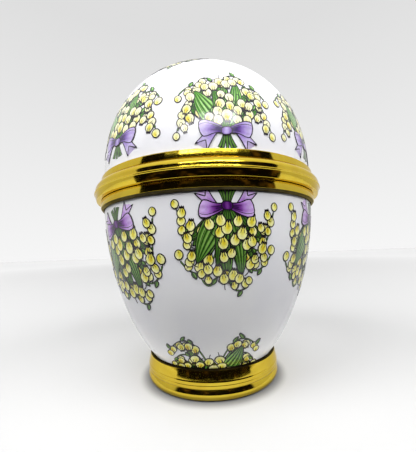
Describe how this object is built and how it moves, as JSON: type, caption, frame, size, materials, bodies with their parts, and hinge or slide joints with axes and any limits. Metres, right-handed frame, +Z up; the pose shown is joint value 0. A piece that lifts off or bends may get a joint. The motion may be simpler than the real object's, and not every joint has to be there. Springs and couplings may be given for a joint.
{
  "type": "trinket box",
  "caption": "Upright egg-shaped trinket box with a hinged domed lid, glazed cup and lid, gilt brass bezels and a turned brass foot ring.",
  "frame": {"origin": "on the egg's axis, level with the underside of the foot ring", "axes": "+Z up along the egg's axis, -Y the front, +Y the hinge side"},
  "size_m": [0.0458, 0.0467, 0.0625],
  "materials": {
    "glaze": "gloss",
    "gilt_brass": "polished",
    "hinge_steel": "satin",
    "cement": "matte",
    "print_ink": "gloss",
    "print_colour": "gloss"
  },
  "bodies": {
    "box": {"cup_shell": "glaze", "base_bezel": "gilt_brass", "closing_lip": "gilt_brass", "base_bezel_cement": "cement", "base_hinge_leaf": "gilt_brass", "hinge_pin": "hinge_steel", "foot_ring": "gilt_brass", "foot_cement": "cement"},
    "lid": {"lid_shell": "glaze", "lid_bezel": "gilt_brass", "lid_bezel_cement": "cement", "lid_hinge_leaf": "gilt_brass"}
  },
  "joints": [
    {"name": "lid_hinge", "type": "hinge", "parent": "box", "child": "lid", "pos_m": [0, 0.02295, 0.0339], "axis": [-1, 0, 0], "range_deg": [0, 95]}
  ]
}
